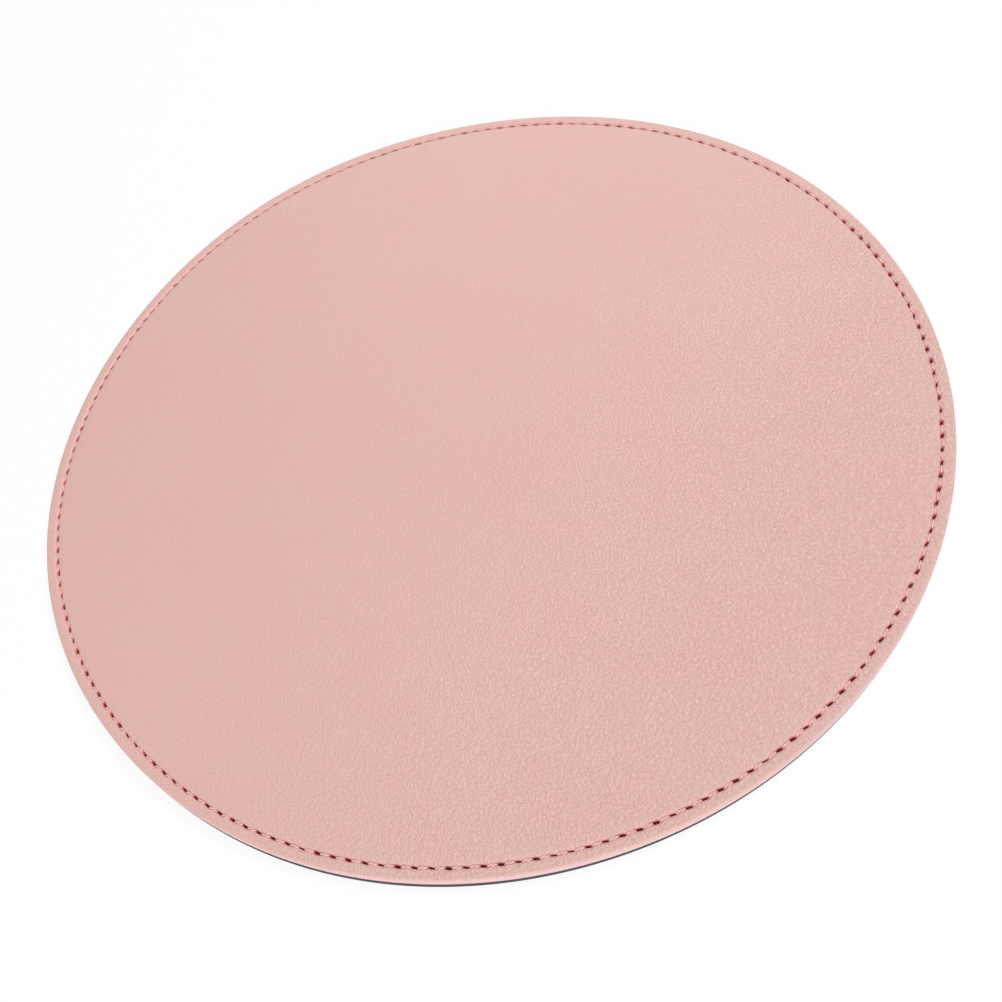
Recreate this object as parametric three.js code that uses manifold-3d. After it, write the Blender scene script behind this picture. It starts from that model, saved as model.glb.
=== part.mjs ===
// Round mouse pad: a grained leather cover glued and sewn to a non-slip rubber base.
// Units are millimetres, +Z is up, and the origin is the centre of the underside.

import * as THREE from 'three';
import { mergeGeometries, mergeVertices } from 'three/addons/utils/BufferGeometryUtils.js';
import Module from 'manifold-3d';

// Driving dimensions of the layers
const padDiameter = 220;
const leatherThickness = 1.7;
const baseThickness = 1.3;
const glueThickness = 0.1;
const glueInset = 2;
const glueClearance = 0.3;
const edgeRadius = 0.6;
const edgeLand = 0.1;

// Driving dimensions of the seam
const seamInset = 2.9;
const stitchLength = 3.49;
const threadDiameter = 0.36;
const threadClearance = 0.05;
const needleBedDepth = 0.15;
const bobbinRecess = 0.05;
const punchOverrun = 1;

// Facets
const rimSegments = 72;
const edgeSteps = 3;
const threadSides = 3;

// Levels of the layers, from the underside up
const padRadius = padDiameter / 2;
const baseTop = baseThickness;
const padTop = baseTop + leatherThickness;
const glueTop = baseTop + glueThickness;
const edgeRound = Math.min(edgeRadius, leatherThickness - edgeLand);

// Stitches are spread evenly round the seam, as near to the wanted length as a whole number allows.
const seamRadius = padRadius - seamInset;
const stitchCount = Math.round((2 * Math.PI * seamRadius) / stitchLength);
const stitchAngle = (2 * Math.PI) / stitchCount;

/** Angle of hole number i round the seam. The X axis lies half way between two holes. */
function holeAngle(i) {
  return (i + 0.5) * stitchAngle;
}

// Each hole takes four legs at the corners of a square, two of each thread. The loop of one
// thread crosses between the legs of the other, so the corners stand a thread and a gap from it.
const threadRadius = threadDiameter / 2;
const threadSpacing = threadDiameter + threadClearance;
const legOffset = threadSpacing / Math.SQRT2;
const holeReach = legOffset + threadRadius + threadClearance;
const bedReach = holeReach + threadClearance;

// A facet's middle lies nearer to the axis than its ends, so the bed's outer wall is set out by this.
const facetGrowth = 1 / Math.cos(Math.PI / rimSegments);
const bedInner = seamRadius - bedReach;
const bedOuter = (seamRadius + bedReach) * facetGrowth;

// Threads lie with a flat side down on their bed, and lock half way through the pad.
const threadSeat = threadRadius * Math.cos(Math.PI / threadSides);
const lockLevel = padTop / 2;
const needleRunLevel = padTop - needleBedDepth + threadClearance + threadSeat;
const needleLoopLevel = lockLevel - threadSpacing / 2;
const bobbinRunLevel = bobbinRecess + threadSeat;
const bobbinLoopLevel = lockLevel + threadSpacing / 2;
const bobbinBedDepth = bobbinRunLevel + threadRadius + threadClearance;

const glueRadius = bedInner - glueInset;
const recessRadius = glueRadius + glueClearance;

const wasm = await Module();
wasm.setup();

/** Turns a profile of [radius, height] points, from axis to axis, into a solid about Z. */
function turned(profile) {
  const points = profile.map(([radius, height]) => new THREE.Vector2(radius, height));
  return new THREE.LatheGeometry(points, rimSegments).rotateX(Math.PI / 2);
}

/** Gives a closed geometry as a solid that can be cut. */
function solidOf(geometry) {
  const bare = geometry.clone();
  bare.deleteAttribute('normal');
  bare.deleteAttribute('uv');
  const merged = mergeVertices(bare);
  const corners = Array.from(merged.index.array);
  const kept = corners.filter((_, i) => {
    const [a, b, c] = corners.slice(i - (i % 3), i - (i % 3) + 3);
    return a !== b && b !== c && c !== a;
  });
  const mesh = new wasm.Mesh({
    numProp: 3,
    vertProperties: new Float32Array(merged.attributes.position.array),
    triVerts: new Uint32Array(kept),
  });
  return new wasm.Manifold(mesh);
}

/** Gives a cut solid back as a geometry. */
function geometryOf(solid) {
  const { vertProperties, triVerts } = solid.getMesh();
  return closedGeometry(vertProperties, triVerts);
}

/** Makes an indexed geometry of corner positions and triangles. */
function closedGeometry(positions, triangles) {
  const geometry = new THREE.BufferGeometry();
  geometry.setAttribute('position', new THREE.BufferAttribute(new Float32Array(positions), 3));
  geometry.setIndex(Array.from(triangles));
  geometry.computeVertexNormals();
  return geometry;
}

/** All the needle holes of the seam as one set of square punches, right through the pad. */
function punches() {
  const height = padTop + 2 * punchOverrun;
  const side = 2 * holeReach;
  const all = [];
  for (let i = 0; i < stitchCount; i += 1) {
    const punch = new THREE.BoxGeometry(side, side, height);
    punch.translate(seamRadius, 0, padTop / 2).rotateZ(holeAngle(i));
    all.push(punch);
  }
  return solidOf(mergeGeometries(all));
}

/** Cuts the seam's needle holes through one layer. */
function perforated(layer) {
  return geometryOf(solidOf(layer).subtract(punches()));
}

/** The leather: rounded upper edge, a bed for the upper thread, and a recess under it for the glue. */
function leatherCover() {
  const bedLevel = padTop - needleBedDepth;
  const edge = [];
  for (let i = 0; i <= edgeSteps; i += 1) {
    const angle = ((Math.PI / 2) * i) / edgeSteps;
    edge.push([
      padRadius - edgeRound * (1 - Math.cos(angle)),
      padTop - edgeRound * (1 - Math.sin(angle)),
    ]);
  }
  return perforated(turned([
    [0, glueTop],
    [recessRadius, glueTop],
    [recessRadius, baseTop],
    [padRadius, baseTop],
    ...edge,
    [bedOuter, padTop],
    [bedOuter, bedLevel],
    [bedInner, bedLevel],
    [bedInner, padTop],
    [0, padTop],
  ]));
}

/** The glue: a thin disc that fills the leather's recess. */
function glueFilm() {
  return turned([
    [0, baseTop],
    [glueRadius, baseTop],
    [glueRadius, glueTop],
    [0, glueTop],
  ]);
}

/** The base: a flat disc with a bed underneath that keeps the lower thread off the desk. */
function rubberBase() {
  return perforated(turned([
    [0, 0],
    [bedInner, 0],
    [bedInner, bobbinBedDepth],
    [bedOuter, bobbinBedDepth],
    [bedOuter, 0],
    [padRadius, 0],
    [padRadius, baseTop],
    [0, baseTop],
  ]));
}

/** A point of the seam: along and out from the centre of hole number i, at a level. */
function seamPoint(i, along, out, level) {
  const angle = holeAngle(i) + along / seamRadius;
  const radius = seamRadius + out;
  return new THREE.Vector3(radius * Math.cos(angle), radius * Math.sin(angle), level);
}

/**
 * Centre line of one thread, round the whole seam: a run from each hole to the next one, then a
 * loop that crosses that hole from one corner to the opposite one at the loop level.
 * A lean of 1 crosses outwards and a lean of -1 inwards.
 */
function threadLine(runLevel, loopLevel, lean) {
  const line = [];
  for (let i = 0; i < stitchCount; i += 1) {
    line.push(
      seamPoint(i, legOffset, lean * legOffset, runLevel),
      seamPoint(i + 1, -legOffset, -lean * legOffset, runLevel),
      seamPoint(i + 1, -legOffset, -lean * legOffset, loopLevel),
      seamPoint(i + 1, legOffset, lean * legOffset, loopLevel),
    );
  }
  return line;
}

/** The section's corners as [across, up] pairs, with a flat side down. */
function threadSection() {
  return Array.from({ length: threadSides }, (_, i) => {
    const angle = -Math.PI / 2 + (Math.PI * (2 * i + 1)) / threadSides;
    return [threadRadius * Math.cos(angle), threadRadius * Math.sin(angle)];
  });
}

/** The section set at one corner of a line, in the plane that halves the bend there. */
function mitredRing(before, corner, after, section) {
  const arriving = corner.clone().sub(before).normalize();
  const leaving = after.clone().sub(corner).normalize();
  const ahead = arriving.clone().add(leaving).normalize();
  const outward = new THREE.Vector3(corner.x, corner.y, 0);
  const across = arriving.clone().cross(leaving).normalize();
  if (across.dot(outward) < 0) {
    across.negate();
  }
  const stretch = 1 / ahead.dot(arriving);
  const upright = across.clone().cross(ahead).multiplyScalar(stretch);
  return section.map(([x, y]) => corner.clone().addScaledVector(across, x).addScaledVector(upright, y));
}

/** One endless thread round the seam. */
function thread(runLevel, loopLevel, lean) {
  const line = threadLine(runLevel, loopLevel, lean);
  const section = threadSection();
  const count = line.length;
  const positions = line.flatMap((corner, i) => {
    const before = line[(i + count - 1) % count];
    const after = line[(i + 1) % count];
    return mitredRing(before, corner, after, section).flatMap((point) => point.toArray());
  });
  const triangles = [];
  for (let ring = 0; ring < count; ring += 1) {
    const next = (ring + 1) % count;
    for (let side = 0; side < threadSides; side += 1) {
      const a = ring * threadSides + side;
      const b = ring * threadSides + ((side + 1) % threadSides);
      const c = next * threadSides + side;
      const d = next * threadSides + ((side + 1) % threadSides);
      triangles.push(a, c, b, b, c, d);
    }
  }
  return closedGeometry(positions, triangles);
}

const leather = new THREE.MeshStandardMaterial({ color: 0xe0b5ab, roughness: 0.55, metalness: 0 });
const glue = new THREE.MeshStandardMaterial({ color: 0xe8dcc0, roughness: 0.4, metalness: 0 });
const rubber = new THREE.MeshStandardMaterial({ color: 0x4b4650, roughness: 0.9, metalness: 0 });
const sewingThread = new THREE.MeshStandardMaterial({ color: 0xe3aea8, roughness: 0.7, metalness: 0 });

/** A named sub-part. */
function piece(name, geometry, material) {
  const mesh = new THREE.Mesh(geometry, material);
  mesh.name = name;
  return mesh;
}

const mousePad = new THREE.Group();
mousePad.add(
  piece('leather_cover', leatherCover(), leather),
  piece('glue_film', glueFilm(), glue),
  piece('rubber_base', rubberBase(), rubber),
  piece('needle_thread', thread(needleRunLevel, needleLoopLevel, 1), sewingThread),
  piece('bobbin_thread', thread(bobbinRunLevel, bobbinLoopLevel, -1), sewingThread),
);

export default mousePad;
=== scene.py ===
"""Dresses the round mouse pad: grained leather sewn over a rubber base with a twisted pink thread.

Lengths are in metres, +Z is up, and the origin is the centre of the underside.
"""

import logging
import math
from collections.abc import Mapping, Sequence
from dataclasses import dataclass
from enum import Enum

import bpy
import numpy as np
from mathutils import Matrix, Vector
from numpy.typing import NDArray


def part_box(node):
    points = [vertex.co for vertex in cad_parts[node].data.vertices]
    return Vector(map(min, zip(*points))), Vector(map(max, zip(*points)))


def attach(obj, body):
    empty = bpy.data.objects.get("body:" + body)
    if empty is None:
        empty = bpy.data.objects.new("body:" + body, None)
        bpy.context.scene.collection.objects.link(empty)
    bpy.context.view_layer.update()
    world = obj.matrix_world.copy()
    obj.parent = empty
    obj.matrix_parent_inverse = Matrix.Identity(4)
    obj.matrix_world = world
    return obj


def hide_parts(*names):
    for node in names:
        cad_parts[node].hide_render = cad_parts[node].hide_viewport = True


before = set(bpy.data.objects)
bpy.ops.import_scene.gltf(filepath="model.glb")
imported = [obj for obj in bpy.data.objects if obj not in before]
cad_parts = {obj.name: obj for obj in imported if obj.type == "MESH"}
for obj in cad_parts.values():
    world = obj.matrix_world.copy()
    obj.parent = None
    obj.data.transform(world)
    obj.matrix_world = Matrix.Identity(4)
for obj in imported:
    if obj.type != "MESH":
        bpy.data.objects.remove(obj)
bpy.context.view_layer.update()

log = logging.getLogger("mouse_pad")

MM = 0.001
BODY = "root"
TINY = 1e-9

Array = NDArray[np.float64]
Indices = NDArray[np.int64]
Colour = tuple[float, float, float]
Pair = tuple[float, float]
Span = tuple[float, float]

WHITE: Colour = (1.0, 1.0, 1.0)


class Mark(Enum):
    """Shares stored on a mesh's points, which a finish reads to tell its places apart. The hole shade
    places painted shade down the needle holes, the seam bed places a painted highlight along the seam,
    and the ply groove places painted shade between a thread's plies.
    """

    CUT_EDGE = "cut_edge"
    HOLE_SHADE = "needle_hole"
    SEAM_BED = "seam_bed"
    PLY_GROOVE = "ply_groove"


class Face(Enum):
    """The two broad faces of a sewn sheet."""

    UPPER = "upper"
    LOWER = "lower"


class ThreadRole(Enum):
    """Which of the seam's two threads a thread is."""

    NEEDLE = "needle_thread"
    BOBBIN = "bobbin_thread"


class Chance(Enum):
    """What differs by chance from hole to hole; each has a set of values of its own."""

    SWAY = 0
    STAGGER = 1
    GAPE = 2


def smooth_step(low: float, high: float, value: Array) -> Array:
    """Rises smoothly from 0 to 1.

    Args:
        low: Value at which the result is 0.
        high: Value at which the result is 1; it may lie below low.
        value: Values to judge.

    Returns:
        Shares from 0 to 1.
    """
    share = np.clip((value - low) / (high - low), 0.0, 1.0)
    return share * share * (3.0 - 2.0 * share)


def placed(name: str, data: bpy.types.ID) -> bpy.types.Object:
    """Puts a mesh, a lamp or a camera into the scene.

    Args:
        name: Name of the new object.
        data: What the object shows.

    Returns:
        The new object.
    """
    thing = bpy.data.objects.new(name, data)
    bpy.context.collection.objects.link(thing)
    return thing


class Wire:
    """An output of a shader node, which can stand in a Python expression."""

    def __init__(self, shader: "Shader", socket: bpy.types.NodeSocket) -> None:
        """Keeps the socket and the shader that it belongs to.

        Args:
            shader: Shader under construction.
            socket: Output that the wire starts from.
        """
        self.shader = shader
        self.socket = socket

    @property
    def is_vector(self) -> bool:
        """Whether the wire carries three numbers."""
        return self.socket.type in {"VECTOR", "RGBA"}

    def _combined(self, operation: str, left: "Wire | float", right: "Wire | float") -> "Wire":
        """Adds the node for one operation.

        Args:
            operation: Name of the operation.
            left: First operand.
            right: Second operand.

        Returns:
            The result's wire.
        """
        vector = any(isinstance(side, Wire) and side.is_vector for side in (left, right))
        if not vector:
            return self.shader.add("ShaderNodeMath", {"operation": operation}, {0: left, 1: right})
        left, right = (
            side if isinstance(side, Wire) else (side, side, side) for side in (left, right)
        )
        return self.shader.add("ShaderNodeVectorMath", {"operation": operation}, {0: left, 1: right})

    def __add__(self, other: "Wire | float") -> "Wire":
        """Gives self + other."""
        return self._combined("ADD", self, other)

    def __radd__(self, other: float) -> "Wire":
        """Gives other + self."""
        return self._combined("ADD", other, self)

    def __sub__(self, other: "Wire | float") -> "Wire":
        """Gives self - other."""
        return self._combined("SUBTRACT", self, other)

    def __rsub__(self, other: float) -> "Wire":
        """Gives other - self."""
        return self._combined("SUBTRACT", other, self)

    def __mul__(self, other: "Wire | float") -> "Wire":
        """Gives self * other."""
        return self._combined("MULTIPLY", self, other)

    def __rmul__(self, other: float) -> "Wire":
        """Gives other * self."""
        return self._combined("MULTIPLY", other, self)


Value = Wire | float | tuple[float, ...]


class Shader:
    """The node tree of one finish, while it is wired up."""

    cloud_roughness: float = 0.55

    def __init__(self, tree: bpy.types.NodeTree) -> None:
        """Starts from an empty tree.

        Args:
            tree: Node tree of a material or of the world.
        """
        self.tree = tree
        self.tree.nodes.clear()

    def add(
        self,
        kind: str,
        settings: Mapping[str, object] | None = None,
        inputs: Mapping[str | int, Value] | None = None,
        output: str | int = 0,
    ) -> Wire:
        """Adds one node.

        Args:
            kind: Node type.
            settings: The node's own settings, set before its sockets.
            inputs: Value or wire of each socket that doesn't keep its default.
            output: Name or number of the output that is wanted.

        Returns:
            That output's wire.
        """
        node = self.tree.nodes.new(kind)
        for name, setting in (settings or {}).items():
            setattr(node, name, setting)
        for key, value in (inputs or {}).items():
            socket = node.inputs[key]
            if isinstance(value, Wire):
                self.tree.links.new(value.socket, socket)
            else:
                socket.default_value = (*value, 1.0) if socket.type == "RGBA" else value
        return Wire(self, node.outputs[output] if node.outputs else node.inputs[0])

    def place(self) -> Wire:
        """Gives the point's place on the object, in metres."""
        return self.add("ShaderNodeTexCoord", output="Object")

    def mark(self, mark: Mark) -> Wire:
        """Gives a share that is stored on the mesh."""
        return self.add("ShaderNodeAttribute", {"attribute_name": mark.value}, output="Fac")

    def noise(self, place: Wire, size: float, detail: float = 2.0, output: str = "Fac") -> Wire:
        """Adds a cloudy pattern.

        Args:
            place: Point at which it is read.
            size: Breadth of one cloud.
            detail: Octaves of finer clouds.
            output: "Fac" for a number or "Color" for three.

        Returns:
            The pattern, from about 0 to 1.
        """
        inputs = {
            "Vector": place,
            "Scale": 1.0 / size,
            "Detail": detail,
            "Roughness": self.cloud_roughness,
        }
        return self.add("ShaderNodeTexNoise", inputs=inputs, output=output)

    def ramp(self, value: Wire, low: float, high: float, start: float = 0.0, end: float = 1.0) -> Wire:
        """Maps a range of a value smoothly onto another.

        Args:
            value: Wire to map.
            low: Value that gives start.
            high: Value that gives end.
            start: Result at low.
            end: Result at high.

        Returns:
            The mapped value, held at its ends.
        """
        inputs = {"Value": value, "From Min": low, "From Max": high, "To Min": start, "To Max": end}
        return self.add("ShaderNodeMapRange", {"interpolation_type": "SMOOTHSTEP"}, inputs)

    def blend(self, share: Wire, first: Wire | Colour, second: Wire | Colour) -> Wire:
        """Mixes two colours.

        Args:
            share: How much of the second colour shows.
            first: Colour at a share of 0.
            second: Colour at a share of 1.

        Returns:
            The mixed colour.
        """
        inputs = {0: share, 6: first, 7: second}
        return self.add("ShaderNodeMix", {"data_type": "RGBA"}, inputs, output=2)

    def bump(self, height: Wire, depth: float) -> Wire:
        """Gives normals for a height pattern.

        Args:
            height: Pattern, from 0 to 1.
            depth: Height of the pattern's 1 over its 0.

        Returns:
            The bent normal.
        """
        inputs = {"Strength": 1.0, "Distance": depth, "Height": height}
        return self.add("ShaderNodeBump", inputs=inputs)


def surface_material(name: str) -> tuple[bpy.types.Material, Shader]:
    """Starts a material.

    Args:
        name: Name of the material.

    Returns:
        The material and its empty shader.
    """
    material = bpy.data.materials.new(name)
    material.use_nodes = True
    return material, Shader(material.node_tree)


@dataclass(frozen=True)
class Finish:
    """What every finish has: a name, a gloss, and one surface shader."""

    name: str
    specular: float = 0.5

    def sockets(self, shader: Shader) -> dict[str, Value]:
        """Wires up what feeds the surface; each finish has its own way.

        Args:
            shader: Shader under construction.

        Returns:
            Value or wire of each socket that the finish sets.
        """
        raise NotImplementedError

    def material(self) -> bpy.types.Material:
        """Makes the finish.

        Returns:
            The material, ready for a mesh.
        """
        material, shader = surface_material(self.name)
        inputs = {"Specular IOR Level": self.specular, **self.sockets(shader)}
        surface = shader.add("ShaderNodeBsdfPrincipled", inputs=inputs)
        shader.add("ShaderNodeOutputMaterial", inputs={"Surface": surface})
        return material


@dataclass(frozen=True)
class LeatherFinish(Finish):
    """Finely pebbled pink leather with a soft satin sheen and a paler cut edge.

    The grain is drawn out along the hide and grows deeper to one side, over a span of distances
    from the centre. The drift that makes the pebbles uneven is measured in pebbles. The other spans
    are the values of a pattern at which it starts to show and shows in full. The hole colour is
    painted shade down the needle holes, and the lighter pink along the seam is a painted highlight
    where the leather's lip catches light.
    """

    name: str = "pink_leather"
    skin: Colour = (0.692, 0.421, 0.382)
    warm_skin: Colour = (0.683, 0.426, 0.374)
    rosy_skin: Colour = (0.690, 0.409, 0.370)
    # Painted highlight: the lighter pink along the seam, where the leather's lip catches light.
    seam_highlight: Colour = (0.755, 0.453, 0.421)
    raw_edge: Colour = (0.780, 0.530, 0.515)
    # Painted shade: the dark red seen down the needle holes.
    hole: Colour = (0.700, 0.110, 0.110)
    pebble: float = 0.71 * MM
    pebble_scatter: float = 0.85
    drift_breadth: float = 1.5
    drift_reach: float = 0.9
    dome_span: Span = (0.6, 0.0)
    crease_span: Span = (-0.05, 0.15)
    crease_share: float = 0.25
    wrinkle: float = 0.34 * MM
    wrinkle_share: float = 0.2
    fibre: float = 0.10 * MM
    fibre_share: float = 0.3
    patch: float = 5 * MM
    patch_span: Span = (0.35, 0.65)
    cloud: float = 30 * MM
    cloud_span: Span = (0.4, 0.65)
    cloud_share: float = 0.6
    seam_highlight_share: float = 0.6
    # Where the painted shade of the holes starts to show and shows in full.
    hole_span: Span = (0.15, 0.85)
    relief: float = 0.13 * MM
    relief_side: float = math.radians(-52)
    relief_span: Span = (-55 * MM, 95 * MM)
    relief_shares: Pair = (0.45, 1.7)
    shading: float = 0.05
    roughness: float = 0.46
    pebble_polish: float = 0.1
    hide_direction: float = math.radians(-66)
    hide_stretch: float = 1.26

    def sockets(self, shader: Shader) -> dict[str, Value]:
        """Wires up the leather.

        Args:
            shader: Shader under construction.

        Returns:
            Wire of each socket that the leather sets.
        """
        place = shader.place()
        grain = self._grain(shader, self._stretched(shader, place))
        fibres = shader.noise(place, self.fibre)
        patches = shader.ramp(shader.noise(place, self.patch, detail=3.0), *self.patch_span)
        clouds = shader.ramp(shader.noise(place, self.cloud, detail=4.0), *self.cloud_span)
        edge = shader.mark(Mark.CUT_EDGE)
        hole = shader.mark(Mark.HOLE_SHADE)
        bed = shader.mark(Mark.SEAM_BED)

        deeper = (math.cos(self.relief_side), math.sin(self.relief_side), 0.0)
        settings = {"operation": "DOT_PRODUCT"}
        across = shader.add("ShaderNodeVectorMath", settings, {0: place, 1: deeper}, "Value")
        deepening = shader.ramp(across, *self.relief_span, *self.relief_shares)

        patched = shader.blend(patches, self.skin, self.warm_skin)
        clouded = shader.blend(clouds * self.cloud_share, patched, self.rosy_skin)
        grained = clouded * (1.0 + (grain - 0.5) * deepening * self.shading)
        # A painted highlight lightens the leather along the seam.
        sewn = shader.blend(bed * self.seam_highlight_share, grained, self.seam_highlight)
        edged = shader.blend(edge, sewn, self.raw_edge)
        height = grain * deepening * (1.0 - edge) + fibres * edge * self.fibre_share
        # The hole colour paints shade down the needle holes and round their rims.
        return {
            "Base Color": shader.blend(shader.ramp(hole, *self.hole_span), edged, self.hole),
            "Roughness": self.roughness - grain * self.pebble_polish,
            "Normal": shader.bump(height, self.relief),
        }

    def _stretched(self, shader: Shader, place: Wire) -> Wire:
        """Draws the grain out along the hide.

        Args:
            shader: Shader under construction.
            place: Point on the object.

        Returns:
            The point at which the grain is read.
        """
        inputs = {
            "Vector": place,
            "Rotation": (0.0, 0.0, self.hide_direction),
            "Scale": (self.hide_stretch, 1.0 / self.hide_stretch, 1.0),
        }
        return shader.add("ShaderNodeMapping", {"vector_type": "TEXTURE"}, inputs)

    def _grain(self, shader: Shader, hide: Wire) -> Wire:
        """Draws the grain: pebbles with narrow creases between them, and finer wrinkles.

        Args:
            shader: Shader under construction.
            hide: Point at which the grain is read.

        Returns:
            1 on top of a pebble, falling to 0 in the creases.
        """
        breadth, reach = self.drift_breadth * self.pebble, self.drift_reach * self.pebble
        drift = shader.noise(hide, breadth, detail=1.0, output="Color") - 0.5
        inputs = {
            "Vector": hide + drift * reach,
            "Scale": 1.0 / self.pebble,
            "Randomness": self.pebble_scatter,
        }
        middle, border = (
            shader.add(
                "ShaderNodeTexVoronoi",
                {"feature": feature, "voronoi_dimensions": "2D"},
                inputs,
                output="Distance",
            )
            for feature in ("SMOOTH_F1", "DISTANCE_TO_EDGE")
        )
        dome = shader.ramp(middle, *self.dome_span)
        crease = shader.ramp(border, *self.crease_span)
        pebbles = dome * (1.0 - self.crease_share) + crease * self.crease_share
        wrinkles = shader.noise(hide, self.wrinkle, detail=1.0)
        return pebbles * (1.0 - self.wrinkle_share) + wrinkles * self.wrinkle_share


@dataclass(frozen=True)
class RubberFinish(Finish):
    """Dark matt rubber with fine pores and a close grip pattern underneath. Its grip valleys and
    needle holes are darkened with painted shade.
    """

    name: str = "dark_rubber"
    specular: float = 0.35
    body: Colour = (0.062, 0.055, 0.070)
    dust: Colour = (0.150, 0.138, 0.158)
    # Painted shade: the darker colour in the grip's valleys.
    valley: Colour = (0.024, 0.020, 0.027)
    # Painted shade: the dark red-brown seen down the needle holes.
    hole: Colour = (0.060, 0.012, 0.014)
    pore: float = 0.14 * MM
    pore_span: Span = (0.55, 0.75)
    pore_dust: float = 0.35
    pore_height: float = 0.35
    pore_roughness: float = 0.1
    streak: float = 0.9 * MM
    streak_span: Span = (0.45, 0.75)
    streak_dust: float = 0.25
    grip_pitch: float = 1.1 * MM
    grip_span: Span = (0.68, 0.46)
    valley_shade_share: float = 0.7
    valley_depth: float = 0.65
    relief: float = 0.06 * MM
    roughness: float = 0.86

    def sockets(self, shader: Shader) -> dict[str, Value]:
        """Wires up the rubber.

        Args:
            shader: Shader under construction.

        Returns:
            Wire of each socket that the rubber sets.
        """
        place = shader.place()
        pores = shader.noise(place, self.pore, detail=3.0)
        streaks = shader.noise(place, self.streak, detail=4.0)
        edge = shader.mark(Mark.CUT_EDGE)
        hole = shader.mark(Mark.HOLE_SHADE)
        valley = (1.0 - self._grip(shader, place)) * (1.0 - edge)

        streaked = shader.ramp(streaks, *self.streak_span) * self.streak_dust
        dust = streaked + shader.ramp(pores, *self.pore_span) * self.pore_dust
        worn = shader.blend(dust, self.body, self.dust)
        # Painted shade darkens the grip's valleys.
        patterned = shader.blend(valley * self.valley_shade_share, worn, self.valley)
        height = pores * self.pore_height - valley * self.valley_depth
        # The hole colour paints shade down the needle holes and round their rims.
        return {
            "Base Color": shader.blend(hole, patterned, self.hole),
            "Roughness": self.roughness + pores * self.pore_roughness,
            "Normal": shader.bump(height, self.relief),
        }

    def _grip(self, shader: Shader, place: Wire) -> Wire:
        """Draws the small diamonds of the grip pattern.

        Args:
            shader: Shader under construction.
            place: Point at which the pattern is read.

        Returns:
            1 on top of a diamond, falling to 0 between them.
        """
        settings = {"feature": "F1", "distance": "MANHATTAN", "voronoi_dimensions": "2D"}
        inputs = {"Vector": place, "Scale": 1.0 / self.grip_pitch, "Randomness": 0.0}
        distance = shader.add("ShaderNodeTexVoronoi", settings, inputs, output="Distance")
        return shader.ramp(distance, *self.grip_span)


@dataclass(frozen=True)
class ThreadFinish(Finish):
    """Smooth pink sewing thread with fine fibres and darker grooves between its plies. The grooves'
    darker colour and that of the thread sunk in the needle holes are painted shade, and the paler
    crowns of the plies are partly a painted highlight.
    """

    name: str = "pink_thread"
    specular: float = 0.45
    # Paler pink at the ply crowns: the thread's own colour, lightened in part as a painted highlight.
    crest: Colour = (0.900, 0.600, 0.590)
    flat: Colour = (0.800, 0.460, 0.450)
    # Painted shade: the dark red in the grooves between the plies.
    groove_shade: Colour = (0.620, 0.230, 0.235)
    # Painted shade: the deep red of the thread sunk into the needle holes.
    hole: Colour = (0.660, 0.140, 0.145)
    fibre: float = 0.05 * MM
    fibre_roughness: float = 0.2
    tone: float = 2 * MM
    tone_span: Span = (0.3, 0.7)
    flat_share: float = 0.35
    groove_shade_span: Span = (0.2, 0.85)
    relief: float = 0.025 * MM
    roughness: float = 0.45

    def sockets(self, shader: Shader) -> dict[str, Value]:
        """Wires up the thread.

        Args:
            shader: Shader under construction.

        Returns:
            Wire of each socket that the thread sets.
        """
        place = shader.place()
        fibres = shader.noise(place, self.fibre, detail=3.0)
        tone = shader.ramp(shader.noise(place, self.tone), *self.tone_span)
        depth = shader.ramp(shader.mark(Mark.PLY_GROOVE), *self.groove_shade_span)
        crest = shader.blend(tone * self.flat_share, self.crest, self.flat)
        # Painted shade between the plies, and a partly painted highlight on their crowns.
        twisted = shader.blend(depth, crest, self.groove_shade)
        # The hole colour paints shade on the thread sunk into the needle holes.
        return {
            "Base Color": shader.blend(shader.mark(Mark.HOLE_SHADE), twisted, self.hole),
            "Roughness": self.roughness + fibres * self.fibre_roughness,
            "Normal": shader.bump(fibres, self.relief),
        }


@dataclass(frozen=True)
class GlueFinish(Finish):
    """Thin cream film of dried glue with brushed streaks and small bubbles."""

    name: str = "clear_glue"
    film: Colour = (0.80, 0.71, 0.52)
    thick: Colour = (0.62, 0.50, 0.32)
    streak: float = 6 * MM
    streak_share: float = 0.6
    bubble: float = 0.8 * MM
    bubble_span: Span = (0.4, 0.7)
    bubble_share: float = 0.2
    bubble_roughness: float = 0.2
    relief: float = 0.03 * MM
    roughness: float = 0.3

    def sockets(self, shader: Shader) -> dict[str, Value]:
        """Wires up the glue.

        Args:
            shader: Shader under construction.

        Returns:
            Wire of each socket that the glue sets.
        """
        place = shader.place()
        streaks = shader.noise(place, self.streak, detail=3.0)
        bubbles = shader.ramp(shader.noise(place, self.bubble), *self.bubble_span)
        thick = streaks * self.streak_share + bubbles * self.bubble_share
        return {
            "Base Color": shader.blend(thick, self.film, self.thick),
            "Roughness": self.roughness + bubbles * self.bubble_roughness,
            "Normal": shader.bump(bubbles, self.relief),
        }


@dataclass(frozen=True)
class Outline:
    """The pad's outline: a circle that came a little out of round when it was cut.

    Each set of lobes is their number, their height and the angle by which they are turned.
    """

    radius: float
    lobes: tuple[tuple[int, float, float], ...] = (
        (3, 0.11 * MM, math.radians(105)),
        (4, 0.12 * MM, math.radians(65)),
        (5, 0.18 * MM, math.radians(146)),
        (6, 0.10 * MM, math.radians(-54)),
    )

    def drawn(self, points: Array) -> Array:
        """Draws the points of a round sheet out to the outline.

        Args:
            points: Places, with x, y and z along the last axis.

        Returns:
            The places, moved the more the nearer they lie to the rim.
        """
        x, y = points[..., 0], points[..., 1]
        angle = np.arctan2(y, x)
        bulge = sum(height * np.cos(count * angle - turn) for count, height, turn in self.lobes)
        stretch = 1.0 + bulge * np.hypot(x, y) / self.radius**2
        return points * np.stack([stretch, stretch, np.ones_like(stretch)], axis=-1)


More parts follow.
